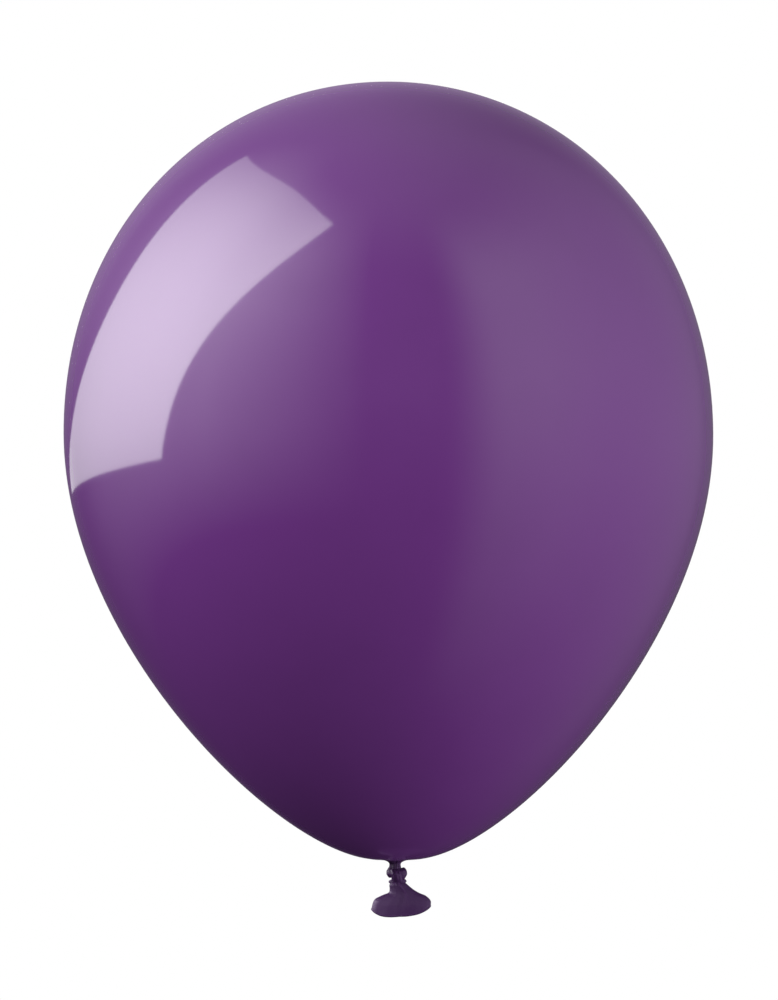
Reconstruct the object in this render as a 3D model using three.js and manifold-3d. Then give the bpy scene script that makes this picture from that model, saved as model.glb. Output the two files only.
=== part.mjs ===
// An inflated, hand-tied latex balloon of the 30 cm (12 inch) class, in millimetres, +Z up.
//
// A balloon is one dipped latex skin. It is built here as the regions that differ in thickness
// or in how they move: the stretched film, the puckered gather under it, the neck, the knot's
// loop, core and tuck, and the unstretched tail with its rolled lip.
//
// The origin is the waist of the neck, between the body and the knot, where a ribbon is tied.
// The neck and the stem of the tail are balls between two hollow seats, so that the pieces on
// either side can turn about the ball's centre as soft rubber bends.

import * as THREE from "three";
import { LoftGeometry } from "three/addons/geometries/LoftGeometry.js";
import { mergeVertices } from "three/addons/utils/BufferGeometryUtils.js";
import Module from "manifold-3d";

const wasm = await Module();
wasm.setup();

// Driving dimensions.
const WIDTH = 280; // the body at its widest
const BODY_HEIGHT = 336; // from the underside of the body to the crown
const WIDEST_HEIGHT = 183.5; // of the widest ring above the underside
const UNDERSIDE = 1.7; // height of the body's flat underside above the neck's waist
const LEAN = 3; // how far the crown stands to the left of the neck
const LEAN_HEIGHT = 65; // the height over which most of that lean builds up
const FILM = 0.01; // thickness of the stretched film
const GAP = 0.3; // clearance between neighbouring pieces

const GATHER_RADIUS = 8; // where the pleats of the gather fade into the film
const GATHER_WALL = 0.5;
const GATHER_BOTTOM = 0.95; // height of the collar's lower edge, which the knot can tilt up to
const NECK_RADIUS = 2.6; // the waist of the neck

const KNOT_CENTRE = new THREE.Vector3(0.8, 0, -3.9);
const KNOT_RADIUS = 4.5;
const KNOT_HEIGHT = 5;
const KNOT_TILT = THREE.MathUtils.degToRad(8); // the loop stands higher on the left
const CORE_RADIUS = 1.6;
const CORE_TOP = -3;
const CORE_BOTTOM = -6.4;

const TUCK_CENTRE = new THREE.Vector3(1.2, 0, -8.1);
const TUCK_RADIUS = 4.4;
const TUCK_HEIGHT = 2.4;

const STEM_CENTRE = new THREE.Vector3(1.6, 0, -10.7);
const STEM_RADIUS = 3.8;

const SKIRT_CENTRE = new THREE.Vector3(2.2, 0, -12.2); // the middle of the skirt's top ring
const SKIRT_TOP_RADIUS = 4.8;
const SKIRT_CEILING = 3; // depth of the solid under the top ring, which holds the stem's seat
const SKIRT_HALF_WIDTH = 12.6; // at the lip, to the middle of the bead
const SKIRT_HALF_DEPTH = 4.8; // the mouth lies flattened
const SKIRT_SIDE_DROP = 6; // from the top ring down to the mouth's two corners
const SKIRT_SAG = 3.9; // how far the mouth's front and back hang below its corners
const SKIRT_TILT = THREE.MathUtils.degToRad(-5); // the left corner hangs lower
const SKIRT_WALL = 0.4;
const LIP_RADIUS = 0.8; // the rolled bead

const ROUND_SEGMENTS = 48; // around the body
const SMALL_SEGMENTS = 18; // around the neck and knot
const OVAL_SEGMENTS = 30; // around the flattened mouth
const PROFILE_POINTS = 12; // along each half of the body's outline, and round each knot section
const BEAD_POINTS = 6; // round the lip's section

const filmRubber = new THREE.MeshStandardMaterial({ color: 0x6b3a80, roughness: 0.12, metalness: 0 });
const thickRubber = new THREE.MeshStandardMaterial({ color: 0x42254f, roughness: 0.3, metalness: 0 });

// A solid of revolution about +Z. The profile's points are (radius, height), and its outer side
// runs upwards.
function lathe(profile, segments) {
  return new THREE.LatheGeometry(profile, segments).rotateX(Math.PI / 2);
}

// The points of a closed ellipse, as a profile for lathe().
function ellipseProfile(centreRadius, halfWidth, halfHeight) {
  return new THREE.EllipseCurve(centreRadius, 0, halfWidth, halfHeight).getPoints(PROFILE_POINTS);
}

// Moves every vertex of a geometry by a function that changes a Vector3 in place.
function reshape(geometry, move) {
  const position = geometry.getAttribute("position");
  const vertex = new THREE.Vector3();
  for (let i = 0; i < position.count; i++) {
    move(vertex.fromBufferAttribute(position, i));
    position.setXYZ(i, vertex.x, vertex.y, vertex.z);
  }
  geometry.computeVertexNormals();
  return geometry;
}

function solidOf(geometry) {
  const bare = new THREE.BufferGeometry().setIndex(geometry.index);
  bare.setAttribute("position", geometry.getAttribute("position"));
  const merged = mergeVertices(bare);
  return new wasm.Manifold(
    new wasm.Mesh({
      numProp: 3,
      vertProperties: merged.getAttribute("position").array,
      triVerts: new Uint32Array(merged.index.array),
    }),
  );
}

function geometryOf(solid) {
  const mesh = solid.getMesh();
  const geometry = new THREE.BufferGeometry();
  geometry.setAttribute("position", new THREE.BufferAttribute(mesh.vertProperties, 3));
  geometry.setIndex(new THREE.BufferAttribute(mesh.triVerts, 1));
  geometry.computeVertexNormals();
  return geometry;
}

function ball(radius) {
  return new THREE.SphereGeometry(radius, SMALL_SEGMENTS, SMALL_SEGMENTS / 2).rotateX(Math.PI / 2);
}

// Cuts a hollow seat for a ball, with clearance, out of a geometry.
function withSeat(geometry, ballRadius, ballCentre) {
  const cutter = ball(ballRadius + GAP).translate(ballCentre.x, ballCentre.y, ballCentre.z);
  return geometryOf(solidOf(geometry).subtract(solidOf(cutter)));
}

function piece(name, geometry, material) {
  const mesh = new THREE.Mesh(geometry, material);
  mesh.name = name;
  return mesh;
}

// The body's outline from the rim of its opening up to the crown, as (radius, height) points:
// a nearly straight cone that rounds into a full crown.
function bodyOutline() {
  const half = WIDTH / 2;
  const widest = UNDERSIDE + WIDEST_HEIGHT;
  const crown = UNDERSIDE + BODY_HEIGHT;
  const lower = new THREE.CubicBezierCurve(
    new THREE.Vector2(GATHER_RADIUS + GAP, UNDERSIDE),
    new THREE.Vector2(0.31 * half, UNDERSIDE),
    new THREE.Vector2(half, widest - 0.52 * WIDEST_HEIGHT),
    new THREE.Vector2(half, widest),
  );
  const upper = new THREE.CubicBezierCurve(
    new THREE.Vector2(half, widest),
    new THREE.Vector2(half, widest + 0.61 * (crown - widest)),
    new THREE.Vector2(0.53 * half, crown),
    new THREE.Vector2(0, crown),
  );
  return [lower, upper];
}

// The stretched film: a shell that is closed at the crown and open at the gather.
function envelope() {
  const outer = [];
  const inner = [];
  bodyOutline().forEach((curve, half) => {
    for (let i = half; i <= PROFILE_POINTS; i++) {
      const point = curve.getPoint(i / PROFILE_POINTS);
      const along = curve.getTangent(i / PROFILE_POINTS);
      outer.push(point);
      inner.unshift(new THREE.Vector2(point.x - FILM * along.y, point.y + FILM * along.x));
    }
  });
  inner[0].x = 0;
  const shell = lathe([...outer, ...inner, outer[0]], ROUND_SEGMENTS);
  return reshape(shell, (v) => {
    v.x -= LEAN * (1 - Math.exp(-(v.z - UNDERSIDE) / LEAN_HEIGHT));
  });
}

// The pucker where the film is drawn together: a thick collar that turns down into the neck.
function neckGather() {
  const mouth = NECK_RADIUS + 2 * GAP;
  const profile = [
    new THREE.Vector2(mouth, GATHER_BOTTOM),
    new THREE.Vector2(mouth + 0.8, GATHER_BOTTOM + 0.5),
    new THREE.Vector2(mouth + 2.2, UNDERSIDE - 0.05),
    new THREE.Vector2(GATHER_RADIUS, UNDERSIDE),
    new THREE.Vector2(GATHER_RADIUS, UNDERSIDE + 0.2),
    new THREE.Vector2(mouth + 2.2, UNDERSIDE + GATHER_WALL),
    new THREE.Vector2(CORE_RADIUS, UNDERSIDE + 2 * GATHER_WALL),
    new THREE.Vector2(CORE_RADIUS, GATHER_BOTTOM),
    new THREE.Vector2(mouth, GATHER_BOTTOM),
  ];
  return withSeat(lathe(profile, SMALL_SEGMENTS), NECK_RADIUS, new THREE.Vector3());
}

// The wrap that goes round the neck's strand, drawn tight and a little aslant.
function knotLoop() {
  const hole = CORE_RADIUS + GAP;
  const halfWidth = (KNOT_RADIUS - hole) / 2;
  const ring = lathe(ellipseProfile(hole + halfWidth, halfWidth, KNOT_HEIGHT / 2), SMALL_SEGMENTS);
  ring.rotateY(KNOT_TILT).translate(KNOT_CENTRE.x, KNOT_CENTRE.y, KNOT_CENTRE.z);
  return withSeat(ring, NECK_RADIUS, new THREE.Vector3());
}

// The strand of the neck inside the loop, aslant like it.
function knotCore() {
  const length = CORE_TOP - CORE_BOTTOM;
  const core = new THREE.CylinderGeometry(CORE_RADIUS, CORE_RADIUS, length, SMALL_SEGMENTS / 2);
  core.rotateX(Math.PI / 2).rotateY(KNOT_TILT);
  return core.translate(KNOT_CENTRE.x, 0, (CORE_TOP + CORE_BOTTOM) / 2);
}

// The smaller fold below the loop, where the tail comes out of the knot.
function knotTuck() {
  const inner = STEM_RADIUS / 3;
  const halfWidth = (TUCK_RADIUS - inner) / 2;
  const ring = lathe(ellipseProfile(inner + halfWidth, halfWidth, TUCK_HEIGHT / 2), SMALL_SEGMENTS);
  ring.translate(TUCK_CENTRE.x, TUCK_CENTRE.y, TUCK_CENTRE.z);
  return withSeat(ring, STEM_RADIUS, STEM_CENTRE);
}

// One ring of the flattened tail: an oval whose front and back hang below its corners.
function ovalRing(halfWidth, halfDepth, height, sag) {
  const ring = [];
  for (let i = 0; i < OVAL_SEGMENTS; i++) {
    const angle = (2 * Math.PI * i) / OVAL_SEGMENTS;
    const across = Math.cos(angle);
    const facing = Math.sin(angle);
    ring.push(new THREE.Vector3(halfWidth * across, halfDepth * facing, height - sag * facing ** 2));
  }
  return ring;
}

// The neck's unstretched end, which flares from the knot to the flattened mouth. It is hollow
// from the mouth up to the stem's seat.
function tailSkirt() {
  const length = SKIRT_SIDE_DROP - LIP_RADIUS - GAP;
  const outline = new THREE.CubicBezierCurve(
    new THREE.Vector2(SKIRT_TOP_RADIUS, 0),
    new THREE.Vector2(SKIRT_TOP_RADIUS + 1, -0.4 * length),
    new THREE.Vector2(SKIRT_HALF_WIDTH + 0.5, -0.1 * length),
    new THREE.Vector2(SKIRT_HALF_WIDTH, -length),
  );
  const outer = [];
  const inner = [ovalRing(0, 0, -SKIRT_CEILING, 0)];
  for (const point of outline.getPoints(PROFILE_POINTS / 2)) {
    const down = -point.y / length;
    const halfDepth = THREE.MathUtils.lerp(SKIRT_TOP_RADIUS, SKIRT_HALF_DEPTH, down);
    const sag = SKIRT_SAG * down;
    outer.unshift(ovalRing(point.x, halfDepth, point.y, sag));
    if (-point.y > SKIRT_CEILING) {
      inner.push(ovalRing(point.x - SKIRT_WALL, halfDepth - SKIRT_WALL, point.y, sag));
    }
  }
  const skirt = new LoftGeometry([...inner, ...outer], { capEnd: true });
  skirt.rotateY(SKIRT_TILT);
  return withSeat(skirt, STEM_RADIUS, STEM_CENTRE.clone().sub(SKIRT_CENTRE));
}

// The rolled lip round the mouth: a round bead along the skirt's lower edge.
function mouthLip() {
  const ring = ovalRing(SKIRT_HALF_WIDTH, SKIRT_HALF_DEPTH, -SKIRT_SIDE_DROP, SKIRT_SAG);
  const edge = new THREE.CatmullRomCurve3(ring, true);
  const bead = new THREE.TubeGeometry(edge, OVAL_SEGMENTS, LIP_RADIUS, BEAD_POINTS, true);
  return bead.rotateY(SKIRT_TILT);
}

const tail = new THREE.Group();
tail.position.copy(SKIRT_CENTRE);
tail.add(piece("tail_skirt", tailSkirt(), thickRubber), piece("mouth_lip", mouthLip(), thickRubber));

const stem = piece("tail_stem", ball(STEM_RADIUS), thickRubber);
stem.position.copy(STEM_CENTRE);

const knot = new THREE.Group();
knot.add(
  piece("knot_loop", knotLoop(), thickRubber),
  piece("knot_core", knotCore(), thickRubber),
  piece("knot_tuck", knotTuck(), thickRubber),
);

const balloon = new THREE.Group();
balloon.add(
  piece("envelope", envelope(), filmRubber),
  piece("neck_gather", neckGather(), thickRubber),
  piece("neck", ball(NECK_RADIUS), thickRubber),
  knot,
  stem,
  tail,
);

export default balloon;
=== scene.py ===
"""The latex balloon's visual model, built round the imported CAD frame."""

import math

import bmesh
import bpy
from mathutils import Matrix, Vector, noise


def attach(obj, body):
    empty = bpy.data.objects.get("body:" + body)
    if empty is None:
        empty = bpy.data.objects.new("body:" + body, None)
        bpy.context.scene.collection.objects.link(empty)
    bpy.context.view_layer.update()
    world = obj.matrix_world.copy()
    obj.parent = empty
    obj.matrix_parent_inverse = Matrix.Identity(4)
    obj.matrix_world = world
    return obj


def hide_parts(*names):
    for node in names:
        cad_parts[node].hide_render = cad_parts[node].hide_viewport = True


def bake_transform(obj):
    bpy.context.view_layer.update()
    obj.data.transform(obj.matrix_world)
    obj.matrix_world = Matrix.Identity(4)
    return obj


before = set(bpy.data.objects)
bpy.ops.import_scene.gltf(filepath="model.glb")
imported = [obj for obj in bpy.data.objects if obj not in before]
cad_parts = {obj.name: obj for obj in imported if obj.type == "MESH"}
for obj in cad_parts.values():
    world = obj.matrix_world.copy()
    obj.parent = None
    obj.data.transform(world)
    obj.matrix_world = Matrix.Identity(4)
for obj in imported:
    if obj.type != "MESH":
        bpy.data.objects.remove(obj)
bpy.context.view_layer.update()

MM = 0.001

# The balloon's body, in millimetres.
WIDTH = 280.0
BODY_HEIGHT = 335.2
WIDEST_HEIGHT = 183.3  # of the widest ring above the underside
UNDERSIDE = 2.2
LEAN = 3.26  # how far the body's upper part leans to the left
LEAN_HEIGHT = 88.0
LOWER_FULLNESS = (0.334, 0.5)  # of the outline, near the neck and below the widest ring
UPPER_FULLNESS = (0.58, 0.555)  # above the widest ring and near the crown
FILM_SIDES = 180  # points round the body, the neck and the throat
FILM_RINGS = 64  # along each half of the body's outline
# The film's end as (radius, height), hidden inside the neck's fillet, and where the fillet ends.
FILM_UNDER_FILLET = ((4.7, 1.85), (5.8, 2.05), (6.8, 2.17))
FILLET_RADIUS = 8.3

# The neck's outline above and below its middle, as (radius, height).
NECK_FILLET = ((8.2, 2.35), (6.6, 2.02), (4.6, 1.6), (3.2, 1.0), (2.6, 0.45), (2.4, 0.0))
NECK_WAIST = ((2.4, 0.0), (2.38, -0.5), (2.5, -1.1), (2.5, -2.4))

# The pleats of drawn-together rubber: how many folds go round, how strong and where they start.
PLEATS = ((13, 0.45, 0.7), (19, 0.35, 2.1), (7, 0.30, 4.0))
PLEAT_DEPTH = 0.16
PLEAT_REACH = 22.0  # how far from the neck's axis the pleats still show

# The knot.
KNOT_FLATNESS = 0.78  # its depth from front to back against its width
STRAND_PATH = (
    (0.0, 0.0, -1.7),
    (0.1, -1.3, -2.6),
    (0.4, -2.3, -4.1),
    (0.8, -1.7, -6.0),
    (1.0, -0.7, -7.4),
    (1.1, -0.2, -8.6),
)
STRAND_WIDTHS = (2.2, 2.2, 2.2, 2.3, 2.5, 2.2)  # half widths at those points
STRAND_DEPTHS = (2.0, 2.0, 1.9, 2.0, 2.0, 1.6)

# The tail's left and right edges from the knot down to the mouth, as (x, z), then half its depth
# from front to back and how far its front and back hang below the edges.
TAIL_LEFT = (
    (-1.2, -6.9),
    (-2.4, -8.9),
    (-2.35, -10.7),
    (-2.9, -12.4),
    (-6.0, -13.7),
    (-9.0, -15.6),
    (-10.3, -19.5),
)
TAIL_RIGHT = (
    (3.3, -6.9),
    (5.3, -8.8),
    (7.3, -10.5),
    (10.3, -12.4),
    (13.3, -13.8),
    (15.4, -15.8),
    (15.4, -18.1),
)
TAIL_DEPTH = (
    (1.7, 0.0),
    (2.6, 0.0),
    (2.8, 0.1),
    (3.1, 0.5),
    (3.7, 1.5),
    (4.3, 2.4),
    (4.6, 3.2),
)
TAIL_SIDES = 96
STEM_SHARE = 2 / 6  # where along those edges the tail's joints are
LEFT_FULLNESS = 4.5  # of the mouth's curve towards its left corner
RIGHT_FULLNESS = 3.3
CORNER_CREASES = 0.12
WALL = 0.35  # thickness of the unstretched rubber
LIP_RADIUS = 0.52
LIP_INSET = 0.7 * LIP_RADIUS  # of the lip's middle from the skirt's outside

# Two hidden rings close each bending piece under its neighbour: how far each goes on, as a share
# of the tail's edges, and how far it is sunk, in millimetres.
TUCKED = ((0.012, 0.01), (0.03, 0.12))
NECK_TUCK = 8.0  # millimetres of the neck for a whole share

# Latex.
THIN_COLOUR = (0.122, 0.030, 0.182, 1.0)
THICK_COLOUR = (0.042, 0.0155, 0.064, 1.0)
BLOOM_COLOUR = (0.5, 0.16, 0.75, 1.0)  # of the light that the translucent edges pass on
LATEX_IOR = 1.52
MOTTLE_SCALE = 38.0
GRAIN_SCALE = 900.0

# The studio, in metres. A direction from the body's middle is an azimuth, 0 towards the camera and
# 90 to the right, and an elevation, in degrees.
BODY_CENTRE = Vector((-0.003, 0.0, 0.17))
CAMERA_PLACE = (-0.0026, -2.0, 0.1572)
SEEN_HEIGHT = 0.432  # of the picture, at the balloon
SENSOR = 36.0  # in millimetres, like the lens
# The soft box's far and near edges, each a curve's three control points (azimuth, elevation) from
# the bottom to the top, and how far its top and bottom edges bow out between them, in degrees.
SOFT_BOX_FAR = ((-155.0, -3.0), (-107.0, 15.0), (-132.0, 53.0))
SOFT_BOX_NEAR = ((-82.0, -5.7), (-73.0, 23.0), (-31.5, 60.0))
SOFT_BOX_TOP_BOW = 9.0
SOFT_BOX_BOTTOM_BOW = 1.6
SOFT_BOX_DISTANCE = 1.2
SOFT_BOX_FAR_GLOW = 1.5
SOFT_BOX_EXTRA_GLOW = 8.0  # at its near edge
# The lights that the body doesn't mirror: name, azimuth, elevation and power in watts.
AREA_LIGHTS = (
    ("front_light", 0, 25, 49.0),
    ("left_light", -80, 20, 61.0),
    ("right_light", 80, -22, 50.0),
    ("back_light", -165, 20, 90.0),
)
AREA_LIGHT_SIZE = 1.6
AREA_LIGHT_DISTANCE = 2.4
BACKDROP_RADIUS = 12.0
FLOOR_RADIUS = 3.0
FLOOR_HEIGHT = -0.8


def smooth(value, low, high):
    """0 below low, 1 above high, and a smooth step between."""
    t = min(1.0, max(0.0, (value - low) / (high - low)))
    return t * t * (3.0 - 2.0 * t)


def bezier(points, t):
    """A point (x, y) on a cubic curve with four control points."""
    weights = ((1 - t) ** 3, 3 * (1 - t) ** 2 * t, 3 * (1 - t) * t ** 2, t ** 3)
    return tuple(sum(w * p[axis] for w, p in zip(weights, points)) for axis in (0, 1))


def catmull(points, t):
    """A point on a smooth curve through all the points, with t from 0 to 1."""
    spans = len(points) - 1
    span = min(int(t * spans), spans - 1)
    u = t * spans - span
    a = points[max(span - 1, 0)]
    b = points[span]
    c = points[span + 1]
    d = points[min(span + 2, spans)]
    found = []
    for p, q, r, s in zip(a, b, c, d):
        bend = 2 * p - 5 * q + 4 * r - s
        twist = 3 * q - p - 3 * r + s
        found.append(0.5 * (2 * q + (r - p) * u + bend * u ** 2 + twist * u ** 3))
    return tuple(found)


def pleats(angle):
    """The folds of drawn-together rubber round the neck's axis, from about -1 to 1."""
    return sum(strength * math.cos(folds * angle + start) for folds, strength, start in PLEATS)


def uneven(point, size, depth):
    """The point moved a little, up to about depth, by a smooth noise with lumps of that size."""
    return Vector(point) + depth * noise.noise_vector(Vector(point) / size)


# ---------------------------------------------------------------- meshes


def middle(ring):
    """The mean of a ring's points."""
    return sum((Vector(point) for point in ring), Vector()) / len(ring)


def loft(name, rings, material, thick=None, fold=None, capped=False, end_point=None, closed=False):
    """A smooth mesh through rings of points in millimetres. thick and fold hold one value a point,
    for the material: fold is painted shade in the grooves of folds and a painted highlight on their
    ridges. capped closes both ends with a fan of triangles, to end_point if it is given."""
    mesh = bmesh.new()
    thick_layer = mesh.verts.layers.float.new("thick")
    fold_shade_layer = mesh.verts.layers.float.new("fold")
    grid = []
    for i, ring in enumerate(rings):
        row = []
        for j, point in enumerate(ring):
            vertex = mesh.verts.new(Vector(point) * MM)
            vertex[thick_layer] = thick[i][j] if thick else 1.0
            vertex[fold_shade_layer] = fold[i][j] if fold else 0.0
            row.append(vertex)
        grid.append(row)
    pairs = list(zip(grid, grid[1:]))
    if closed:
        pairs.append((grid[-1], grid[0]))
    for lower, upper in pairs:
        for j in range(len(lower)):
            k = (j + 1) % len(lower)
            mesh.faces.new((lower[j], lower[k], upper[k], upper[j]))
    for ring, row, point in ((rings[0], grid[0], None), (rings[-1], grid[-1], end_point)):
        if not capped:
            continue
        centre = point or middle(ring)
        pole = mesh.verts.new(Vector(centre) * MM)
        pole[thick_layer] = row[0][thick_layer]
        for j in range(len(row)):
            k = (j + 1) % len(row)
            mesh.faces.new((row[j], row[k], pole))
    bmesh.ops.recalc_face_normals(mesh, faces=mesh.faces)
    for face in mesh.faces:
        face.smooth = len(face.verts) == 4 or end_point is not None
    data = bpy.data.meshes.new(name)
    mesh.to_mesh(data)
    mesh.free()
    data.materials.append(material)
    piece = bpy.data.objects.new(name, data)
    bpy.context.scene.collection.objects.link(piece)
    return piece


# ---------------------------------------------------------------- materials


class Nodes:
    """A short way to build a material's nodes."""

    def __init__(self, tree):
        self.tree = tree
        self.tree.nodes.clear()

    def add(self, kind, operation=None, **inputs):
        node = self.tree.nodes.new(kind)
        if operation:
            node.operation = operation
        for name, value in inputs.items():
            self.put(node, name.replace("_", " "), value)
        return node

    def put(self, node, name, value):
        socket = node.inputs[name]
        if isinstance(value, bpy.types.NodeSocket):
            self.tree.links.new(value, socket)
        else:
            socket.default_value = value

    def math(self, operation, a, b=None, clamp=False):
        node = self.tree.nodes.new("ShaderNodeMath")
        node.operation = operation
        node.use_clamp = clamp
        for socket, value in zip(node.inputs, (a, b)):
            if isinstance(value, bpy.types.NodeSocket):
                self.tree.links.new(value, socket)
            elif value is not None:
                socket.default_value = value
        return node.outputs[0]

    def mix(self, factor, a, b):
        node = self.tree.nodes.new("ShaderNodeMix")
        node.data_type = "RGBA"
        for index, value in ((0, factor), (6, a), (7, b)):
            if isinstance(value, bpy.types.NodeSocket):
                self.tree.links.new(value, node.inputs[index])
            else:
                node.inputs[index].default_value = value
        return node.outputs[2]

    def ramp(self, value, low, high, kind="LINEAR"):
        """0 at low, 1 at high, held outside them. high may be below low."""
        node = self.tree.nodes.new("ShaderNodeMapRange")
        node.interpolation_type = kind
        self.put(node, "Value", value)
        node.inputs["From Min"].default_value = low
        node.inputs["From Max"].default_value = high
        return node.outputs[0]

    def step(self, value, low, high):
        return self.ramp(value, low, high, "SMOOTHSTEP")

    def product(self, first, *others):
        for other in others:
            first = self.math("MULTIPLY", first, other)
        return first

    def total(self, first, *others):
        for other in others:
            first = self.math("ADD", first, other)
        return first

    def attribute(self, name):
        node = self.tree.nodes.new("ShaderNodeAttribute")
        node.attribute_name = name
        return node.outputs["Fac"]


def latex(name, roughness, shine, bloom, grain):
    """Dipped rubber: paler where it is stretched thin and darker where it is thick, with painted shade
    in the grooves of its folds and a painted highlight on their ridges. shine is the strength of its
    reflections, bloom of the glow at its edges and grain of its fine bumps."""
    material = bpy.data.materials.new(name)
    material.use_nodes = True
    nodes = Nodes(material.node_tree)
    place = nodes.add("ShaderNodeTexCoord").outputs["Object"]
    mottle = nodes.add("ShaderNodeTexNoise", Vector=place, Scale=MOTTLE_SCALE, Detail=3.0).outputs["Fac"]
    fine = nodes.add("ShaderNodeTexNoise", Vector=place, Scale=GRAIN_SCALE, Detail=4.0).outputs["Fac"]
    thick = nodes.attribute("thick")
    fold = nodes.attribute("fold")
    uneven = nodes.math("MULTIPLY", nodes.math("SUBTRACT", mottle, 0.5), 0.16)
    # Painted shade and highlight: the fold value darkens the colour in the grooves of folds and pleats
    # and lightens it on their ridges.
    depth = nodes.math("SUBTRACT", thick, nodes.math("MULTIPLY", fold, 0.25))
    depth = nodes.math("ADD", depth, uneven, clamp=True)
    colour = nodes.mix(depth, THIN_COLOUR, THICK_COLOUR)
    bump = nodes.add("ShaderNodeBump", Height=fine, Strength=grain, Distance=0.0001)
    shader = nodes.add(
        "ShaderNodeBsdfPrincipled",
        Base_Color=colour,
        Roughness=roughness,
        IOR=LATEX_IOR,
        Specular_IOR_Level=shine,
        Sheen_Weight=bloom,
        Sheen_Roughness=0.6,
        Sheen_Tint=BLOOM_COLOUR,
        Normal=bump.outputs["Normal"],
    )
    output = nodes.add("ShaderNodeOutputMaterial")
    nodes.put(output, "Surface", shader.outputs["BSDF"])
    return material


film_latex = latex("film_latex", roughness=0.07, shine=0.5, bloom=0.15, grain=0.02)
thick_latex = latex("thick_latex", roughness=0.4, shine=0.25, bloom=0.05, grain=0.25)

# ---------------------------------------------------------------- body and neck


def leaning(x, y, z):
    """Moves a point sideways as the body leans above the neck."""
    shift = LEAN * (1.0 - math.exp(-max(0.0, z - UNDERSIDE) / LEAN_HEIGHT))
    return (x - shift, y, z)


def turned(profile):
    """Rings round +Z from (radius, height, pleat depth, thickness) points, displaced by the pleats
    along the profile's own normal. Gives rings, thickness and fold values, the fold values painting
    shade in the pleats' grooves and a highlight on their ridges."""
    rings, thick, folds = [], [], []
    for i, (radius, height, depth, thickness) in enumerate(profile):
        before = profile[max(i - 1, 0)]
        after = profile[min(i + 1, len(profile) - 1)]
        along = Vector((after[0] - before[0], after[1] - before[1])).normalized()
        ring, fold_shade_row = [], []
        for j in range(FILM_SIDES):
            angle = math.tau * j / FILM_SIDES
            push = depth * pleats(angle)
            r = radius + push * along.y
            z = height - push * along.x
            ring.append(leaning(r * math.cos(angle), r * math.sin(angle), z))
            # Painted shade and highlight: darker in the pleats' grooves, lighter on their ridges.
            fold_shade_row.append(pleats(angle) * smooth(depth, 0.0, 0.2))
        rings.append(ring)
        thick.append([thickness] * FILM_SIDES)
        folds.append(fold_shade_row)
    return rings, thick, folds


def pleat_depth(radius):
    """How deep the pleats are at a distance from the neck's axis."""
    return PLEAT_DEPTH * smooth(PLEAT_REACH - radius, 0.0, PLEAT_REACH) ** 2


def film_thickness(radius, height):
    """1 for the thick rubber at the neck, 0 for the film at its thinnest, and some thickness in the
    spot at the crown where the dipped rubber dripped off its mould."""
    low = 0.1 * math.exp(-height / 40.0)
    gather = 0.75 * math.exp(-radius / 9.0) * math.exp(-height / 12.0)
    crown = UNDERSIDE + BODY_HEIGHT
    dip_spot = 0.35 * smooth(crown - 1.6 - height, 0.9, -0.4)
    return min(1.0, low + gather + dip_spot)


def body_profile():
    """The film's outline from under the neck's fillet up to the crown, for turned()."""
    half = WIDTH / 2
    widest = UNDERSIDE + WIDEST_HEIGHT
    crown = UNDERSIDE + BODY_HEIGHT
    lower = (
        (FILLET_RADIUS, UNDERSIDE),
        (LOWER_FULLNESS[0] * half, UNDERSIDE),
        (half, widest - LOWER_FULLNESS[1] * WIDEST_HEIGHT),
        (half, widest),
    )
    upper = (
        (half, widest),
        (half, widest + UPPER_FULLNESS[0] * (crown - widest)),
        (UPPER_FULLNESS[1] * half, crown),
        (0.0, crown),
    )
    under = list(FILM_UNDER_FILLET)
    under += [bezier(lower, i / FILM_RINGS) for i in range(FILM_RINGS + 1)]
    over = [bezier(upper, i / FILM_RINGS) for i in range(1, FILM_RINGS)]
    pleated = [(r, z, pleat_depth(r), film_thickness(r, z)) for r, z in under]
    return pleated + [(r, z, 0.0, film_thickness(r, z)) for r, z in over]


def make_film():
    rings, thick, folds = turned(body_profile())
    crown = leaning(0.0, 0.0, UNDERSIDE + BODY_HEIGHT)
    piece = loft("film", rings, film_latex, thick, folds, capped=True, end_point=crown)
    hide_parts("envelope", "neck_gather")
    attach(piece, "body")


def neck_profile(points, steps):
    """Points along a smooth curve, with the pleats that the neck carries down from the body."""
    found = []
    for i in range(steps + 1):
        radius, height = catmull(points, i / steps)
        found.append((radius, height, pleat_depth(radius), 0.95))
    return found


def split(made):
    """The arguments of loft() for rings that turned() made, in thick rubber."""
    rings, thick, folds = made
    return rings, thick_latex, thick, folds


def tucked_end(point, direction):
    """The hidden rings past the end of a neck profile, going up for 1 and down for -1."""
    radius, height, depth, thickness = point
    found = []
    for beyond, inset in TUCKED:
        found.append((radius - inset, height + direction * NECK_TUCK * beyond, depth, thickness))
    return found


def make_neck():
    """The neck as two bending pieces, above and below its middle, where both of its joints are."""
    over = neck_profile(NECK_FILLET, 40)
    under = neck_profile(NECK_WAIST, 30)
    over_end = tucked_end(over[-1], -1)
    under_end = tucked_end(over[-1], 1)
    upper = loft("neck_upper", *split(turned(over + over_end)), capped=True)
    lower = loft("neck_lower", *split(turned(under_end[::-1] + under)), capped=True)
    for piece in (upper, lower):
        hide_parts("neck")
    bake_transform(upper)
    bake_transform(lower)


# ---------------------------------------------------------------- knot


def on_knot(piece, node):
    """A piece of thick rubber that moves with the knot and stands for one of its CAD nodes."""
    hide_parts(node)
    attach(piece, "knot")


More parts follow.
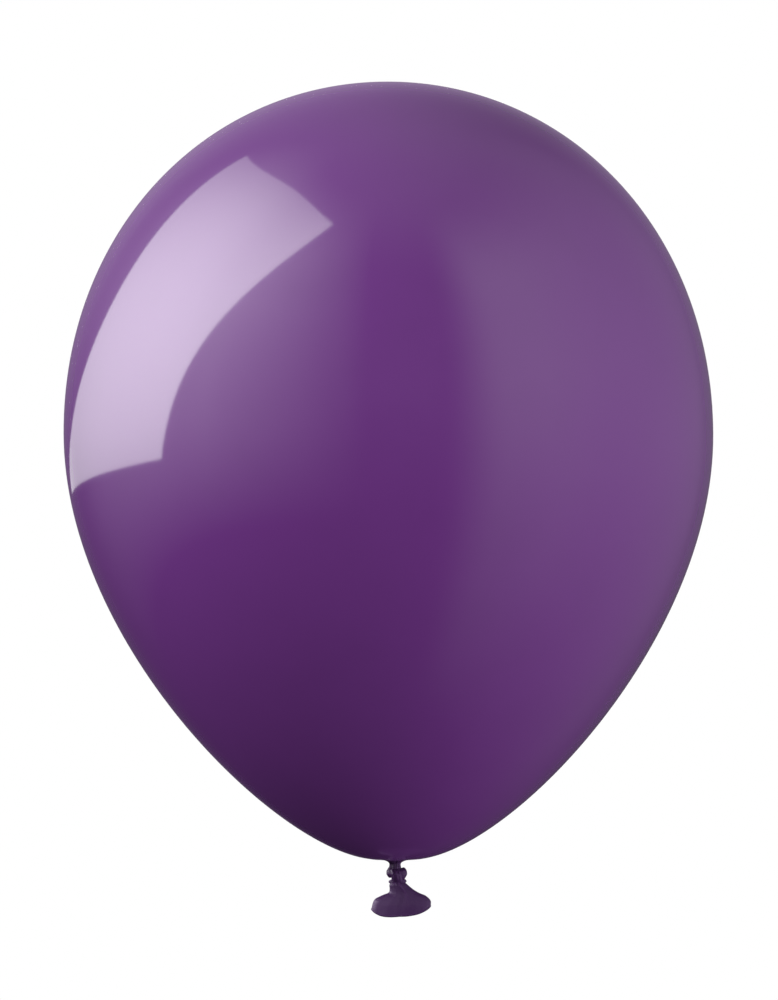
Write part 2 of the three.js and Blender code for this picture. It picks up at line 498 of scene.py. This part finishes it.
def wrapped_strand(name, centre, tilt, middle_radius, half_width, heights, ridges):
    """A flattened ring of folded rubber round the neck. heights are the strand's half heights at
    its left, its front and its right, and its folds run along it."""
    left_height, front_height, right_height = heights
    rings, folds = [], []
    turn = Matrix.Rotation(tilt, 3, "Y")
    around, sides = 96, 40
    for i in range(around):
        angle = math.tau * i / around
        side_height = right_height if math.cos(angle) > 0 else left_height
        half_height = front_height + (side_height - front_height) * math.cos(angle) ** 2
        ring, fold_shade_row = [], []
        for j in range(sides):
            phase = math.tau * j / sides
            crease = 0.6 * math.cos(ridges * phase + 2 * angle)
            crease += 0.4 * math.cos((ridges + 3) * phase - angle + 1.0)
            swell = 1.0 + 0.045 * crease + 0.03 * math.cos(3 * angle + 2.0)
            r = middle_radius + half_width * math.cos(phase) * swell
            z = half_height * math.sin(phase) * swell
            point = turn @ Vector((r * math.cos(angle), KNOT_FLATNESS * r * math.sin(angle), z))
            ring.append(uneven(point + Vector(centre), 2.2, 0.13))
            # Painted shade and highlight: darker in the creases' grooves, lighter on their ridges.
            fold_shade_row.append(crease)
        rings.append(ring)
        folds.append(fold_shade_row)
    return loft(name, rings, thick_latex, fold=folds, closed=True)


def strand(name, path, widths, depths, ridges):
    """A folded strand down a path of (x, y, z) points, with its half width and half depth at each."""
    steps, sides = 48, 48
    rings, folds = [], []
    for i in range(steps + 1):
        t = i / steps
        x, y, z = catmull(path, t)
        half_width = catmull([(w,) for w in widths], t)[0]
        half_depth = catmull([(d,) for d in depths], t)[0]
        ring, fold_shade_row = [], []
        for j in range(sides):
            angle = math.tau * j / sides
            crease = math.cos(ridges * angle + 1.5 * t) * abs(math.sin(angle)) * (1.0 - t ** 4)
            swell = 1.0 + 0.07 * crease
            across, along = half_width * swell * math.cos(angle), half_depth * swell * math.sin(angle)
            ring.append(uneven((x + across, y + along, z), 1.8, 0.15))
            # Painted shade and highlight: darker in the creases' grooves, lighter on their ridges.
            fold_shade_row.append(crease)
        rings.append(ring)
        folds.append(fold_shade_row)
    return loft(name, rings, thick_latex, fold=folds, capped=True)


def make_knot():
    """A slanted wrap, a strand in front of it and a smaller fold below, where the tail starts."""
    wrap = wrapped_strand(
        "knot_wrap",
        centre=(0.75, 0.5, -3.9),
        tilt=math.radians(5),
        middle_radius=2.6,
        half_width=1.9,
        heights=(2.3, 1.9, 2.6),
        ridges=5,
    )
    on_knot(wrap, "knot_loop")
    front = strand("knot_strand", STRAND_PATH, STRAND_WIDTHS, STRAND_DEPTHS, ridges=9)
    on_knot(front, "knot_core")
    fold = wrapped_strand(
        "knot_fold",
        centre=(1.1, 0.6, -7.6),
        tilt=math.radians(-3),
        middle_radius=2.5,
        half_width=1.4,
        heights=(0.95, 0.85, 1.1),
        ridges=4,
    )
    on_knot(fold, "knot_tuck")


# ---------------------------------------------------------------- tail


def tail_ring(t, inset=0.0):
    """One ring of the tail's outside, or of its inside when inset by the wall, and its fold values,
    which paint shade in the grooves of its folds and a highlight on their ridges. t goes from 0 at the
    knot to 1 at the mouth."""
    left, right, (depth, sag) = (catmull(row, t) for row in (TAIL_LEFT, TAIL_RIGHT, TAIL_DEPTH))
    half = (right[0] - left[0]) / 2 - inset
    ring, fold_shade_row = [], []
    for j in range(TAIL_SIDES):
        angle = math.tau * j / TAIL_SIDES
        across, facing = math.cos(angle), math.sin(angle)
        fullness = RIGHT_FULLNESS if across > 0 else LEFT_FULLNESS
        hang = sag * (1.0 - abs(across) ** fullness)
        drape = abs(facing) ** 0.5
        crease = math.cos(9.0 * across + 1.5 * math.copysign(1.0, facing)) * math.cos(2.5 * across)
        fold = crease * drape * (1.0 - t) ** 1.5
        ripple = crease * abs(facing) * t * (0.4 - 0.3 * t)
        ripple += CORNER_CREASES * t * abs(across) ** 3 * drape * math.cos(22.0 * across)
        x = (left[0] + right[0]) / 2 + half * across
        y = (depth - inset) * facing + math.copysign(0.22 * fold + ripple, facing)
        z = (left[1] + right[1]) / 2 + (right[1] - left[1]) / 2 * across - hang
        ring.append(uneven((x, y, z), 4.0, 0.12))
        # Painted shade and highlight: darker in the folds' grooves, lighter on their ridges.
        fold_shade_row.append(fold)
    return ring, fold_shade_row


def make_throat():
    """The solid soft stretch between the knot and the tail's joints."""
    steps = 24
    rows = [tail_ring(STEM_SHARE * i / steps) for i in range(steps + 1)]
    rows += [tail_ring(STEM_SHARE + beyond, inset) for beyond, inset in TUCKED]
    rings, folds = zip(*rows)
    throat = loft("throat", rings, thick_latex, fold=folds, capped=True)
    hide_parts("tail_stem")
    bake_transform(throat)


def make_skirt():
    """The flared end below the tail's joints, hollow from the mouth most of the way up."""
    steps = 56
    shares = [STEM_SHARE + (1 - STEM_SHARE) * i / steps for i in range(steps + 1)]
    tucked = [tail_ring(STEM_SHARE - beyond, inset) for beyond, inset in reversed(TUCKED)]
    outside = [tail_ring(share) for share in shares]
    inside = [tail_ring(share, WALL) for share in reversed(shares[steps // 4 + 1:])]
    rings, folds = zip(*(tucked + outside + inside))
    skirt = loft("skirt", rings, thick_latex, fold=folds, capped=True)
    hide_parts("tail_skirt")
    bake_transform(skirt)


def make_lip():
    """The rolled bead round the mouth."""
    sides = 16
    edge = [Vector(point) for point in tail_ring(1.0, LIP_INSET)[0]]
    beads = []
    for j, point in enumerate(edge):
        along = (edge[(j + 1) % TAIL_SIDES] - edge[j - 1]).normalized()
        side = along.cross(Vector((0, 0, 1))).normalized()
        up = side.cross(along)
        phases = [math.tau * k / sides for k in range(sides)]
        beads.append([point + LIP_RADIUS * (math.cos(p) * side + math.sin(p) * up) for p in phases])
    lip = loft("lip", beads, thick_latex, closed=True)
    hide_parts("mouth_lip")
    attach(lip, "tail")


# ---------------------------------------------------------------- light, floor and camera


def link(name, data):
    """Adds an object with that data to the scene."""
    thing = bpy.data.objects.new(name, data)
    bpy.context.scene.collection.objects.link(thing)
    return thing


def seen_by(thing, camera=False, glossy=False):
    """Which rays see a light or a stage object. None of these casts a shadow."""
    thing.visible_camera = camera
    thing.visible_diffuse = False
    thing.visible_glossy = glossy
    thing.visible_transmission = False
    thing.visible_volume_scatter = False
    thing.visible_shadow = False


def emitter(name, build):
    """A material that only glows, as strongly as the socket or the number that build() gives."""
    material = bpy.data.materials.new(name)
    material.use_nodes = True
    nodes = Nodes(material.node_tree)
    glow = nodes.add("ShaderNodeEmission", Strength=build(nodes))
    output = nodes.add("ShaderNodeOutputMaterial")
    nodes.put(output, "Surface", glow.outputs["Emission"])
    return material


def towards(azimuth, elevation):
    """The unit direction of an azimuth, 0 towards the camera and 90 to the right, and an elevation."""
    turn, tilt = math.radians(azimuth), math.radians(elevation)
    return Vector((math.sin(turn) * math.cos(tilt), -math.cos(turn) * math.cos(tilt), math.sin(tilt)))


def soft_box_place(across, up):
    """The azimuth and elevation of a point of the soft box, with across and up from 0 to 1."""
    weights = ((1 - up) ** 2, 2 * up * (1 - up), up ** 2)
    far, near = (
        [sum(w * point[axis] for w, point in zip(weights, edge)) for axis in (0, 1)]
        for edge in (SOFT_BOX_FAR, SOFT_BOX_NEAR)
    )
    bow = 4 * across * (1 - across) * (SOFT_BOX_TOP_BOW * up - SOFT_BOX_BOTTOM_BOW * (1 - up))
    azimuth = far[0] + (near[0] - far[0]) * across
    return azimuth, far[1] + (near[1] - far[1]) * across + bow


def make_soft_box():
    """The large curved soft box on the left, whose sharp reflection lies on the body."""
    steps = 24
    mesh = bmesh.new()
    glow = mesh.verts.layers.float.new("glow")
    grid = []
    for i in range(steps + 1):
        row = []
        for j in range(steps + 1):
            azimuth, elevation = soft_box_place(j / steps, i / steps)
            vertex = mesh.verts.new(BODY_CENTRE + towards(azimuth, elevation) * SOFT_BOX_DISTANCE)
            level = SOFT_BOX_FAR_GLOW + SOFT_BOX_EXTRA_GLOW * smooth(azimuth, -150.0, -72.0)
            vertex[glow] = level * (1.0 - 0.5 * ((elevation - 23.0) / 39.0) ** 2)
            row.append(vertex)
        grid.append(row)
    for low, high in zip(grid, grid[1:]):
        for j in range(steps):
            mesh.faces.new((low[j], low[j + 1], high[j + 1], high[j]))
    data = bpy.data.meshes.new("soft_box")
    mesh.to_mesh(data)
    mesh.free()
    data.materials.append(emitter("soft_box", lambda nodes: nodes.attribute("glow")))
    box = link("soft_box", data)
    seen_by(box, glossy=True)


def make_area_light(name, azimuth, elevation, power):
    """A large square light aimed at the body, which lights it without a highlight."""
    away = towards(azimuth, elevation)
    light = bpy.data.lights.new(name, "AREA")
    light.shape = "SQUARE"
    light.size = AREA_LIGHT_SIZE
    light.energy = power
    lamp = link(name, light)
    lamp.location = BODY_CENTRE + away * AREA_LIGHT_DISTANCE
    lamp.rotation_mode = "QUATERNION"
    lamp.rotation_quaternion = (-away).to_track_quat("-Z", "Y")
    lamp.visible_camera = False
    lamp.visible_glossy = False


def make_world():
    """The studio as the body mirrors it, by the direction's azimuth (0 towards the camera, 90 to
    the right) and elevation in degrees. A right wall, the soft box's spill on the left wall, a
    dim back wall and a ceiling, each a level times the bands over which it fades in and out. The
    camera doesn't see it and it lights nothing."""
    world = bpy.data.worlds.new("studio")
    bpy.context.scene.world = world
    world.use_nodes = True
    nodes = Nodes(world.node_tree)
    direction = nodes.add("ShaderNodeTexCoord").outputs["Generated"]
    parts = nodes.add("ShaderNodeSeparateXYZ", Vector=direction).outputs
    x, y, z = (parts[axis] for axis in "XYZ")
    azimuth = nodes.math("DEGREES", nodes.math("ARCTAN2", x, nodes.math("MULTIPLY", y, -1.0)))
    elevation = nodes.math("DEGREES", nodes.math("ARCSINE", z))
    turned_away = nodes.math("ABSOLUTE", azimuth)

    room = nodes.product(0.09, nodes.step(elevation, -28, 8))
    ceiling = nodes.product(0.45, nodes.step(elevation, 35, 80))
    back = nodes.product(
        nodes.math("ADD", 0.1, nodes.product(0.14, nodes.step(x, 0.35, -0.35))),
        nodes.step(turned_away, 110, 150),
        nodes.step(elevation, -6, 20),
        nodes.step(elevation, 75, 35),
    )
    right = nodes.product(
        1.18,
        nodes.step(azimuth, 18, 44),
        nodes.ramp(azimuth, 150, 58),
        nodes.ramp(elevation, -72, 15),
        nodes.step(elevation, 72, 38),
    )
    spill = nodes.product(
        3.1,
        nodes.ramp(azimuth, -8, -67),
        nodes.step(azimuth, -148, -84),
        nodes.ramp(elevation, -27, 33),
        nodes.step(elevation, 78, 45),
    )
    far_right = nodes.product(
        0.13,
        nodes.step(azimuth, 80, 115),
        nodes.ramp(azimuth, 175, 140),
        nodes.step(elevation, -60, -15),
        nodes.step(elevation, 18, -4),
    )
    strength = nodes.total(0.006, room, ceiling, back, right, far_right, spill)
    sky = nodes.add("ShaderNodeBackground", Color=(1, 1, 1, 1), Strength=strength)
    output = nodes.add("ShaderNodeOutputWorld")
    nodes.put(output, "Surface", sky.outputs["Background"])
    world.cycles_visibility.camera = False
    world.cycles_visibility.diffuse = False


def backdrop_glow(nodes):
    """White, and light grey behind the soft box, so that its glare on the body's rim shows."""
    place = nodes.add("ShaderNodeTexCoord").outputs["Object"]
    x = nodes.add("ShaderNodeSeparateXYZ", Vector=place).outputs["X"]
    return nodes.math("SUBTRACT", 1.0, nodes.product(0.3, nodes.step(x, -5.0, -10.0)))


def make_backdrop():
    """The white studio round everything, which only the camera sees."""
    mesh = bmesh.new()
    bmesh.ops.create_icosphere(mesh, subdivisions=4, radius=BACKDROP_RADIUS)
    for face in mesh.faces:
        face.normal_flip()
    data = bpy.data.meshes.new("backdrop")
    mesh.to_mesh(data)
    mesh.free()
    data.materials.append(emitter("backdrop_white", backdrop_glow))
    dome = link("backdrop", data)
    seen_by(dome, camera=True)


def make_floor():
    """A pale floor that fades into the backdrop, and that can be seen through from below."""
    mesh = bmesh.new()
    bmesh.ops.create_circle(mesh, cap_ends=True, segments=96, radius=FLOOR_RADIUS)
    data = bpy.data.meshes.new("floor")
    mesh.to_mesh(data)
    mesh.free()
    material = bpy.data.materials.new("floor_pale")
    material.use_nodes = True
    nodes = Nodes(material.node_tree)
    place = nodes.add("ShaderNodeTexCoord").outputs["Object"]
    distance = nodes.add("ShaderNodeVectorMath", "LENGTH", Vector=place).outputs["Value"]
    level = nodes.math("ADD", 0.9, nodes.product(0.1, nodes.step(distance, 0.3, 2.8)))
    pale = nodes.add("ShaderNodeEmission", Strength=level)
    clear = nodes.add("ShaderNodeBsdfTransparent")
    below = nodes.add("ShaderNodeNewGeometry").outputs["Backfacing"]
    surface = nodes.add("ShaderNodeMixShader", Fac=below)
    material.node_tree.links.new(pale.outputs["Emission"], surface.inputs[1])
    material.node_tree.links.new(clear.outputs["BSDF"], surface.inputs[2])
    output = nodes.add("ShaderNodeOutputMaterial")
    nodes.put(output, "Surface", surface.outputs["Shader"])
    data.materials.append(material)
    floor = link("floor", data)
    floor.location = (0, 0, FLOOR_HEIGHT)
    seen_by(floor, camera=True)


def make_camera():
    """Level with the middle of the whole balloon, in front of it."""
    camera = bpy.data.cameras.new("camera")
    camera.sensor_width = SENSOR
    camera.lens = SENSOR * -CAMERA_PLACE[1] / SEEN_HEIGHT
    camera.clip_end = 50.0
    holder = link("camera", camera)
    holder.location = CAMERA_PLACE
    holder.rotation_euler = (math.radians(90), 0, 0)
    bpy.context.scene.camera = holder


make_film()
make_neck()
make_knot()
make_throat()
make_skirt()
make_lip()

make_camera()
make_soft_box()
make_world()
make_backdrop()
make_floor()
for name, azimuth, elevation, power in AREA_LIGHTS:
    make_area_light(name, azimuth, elevation, power)
bpy.context.scene.view_settings.view_transform = "Standard"
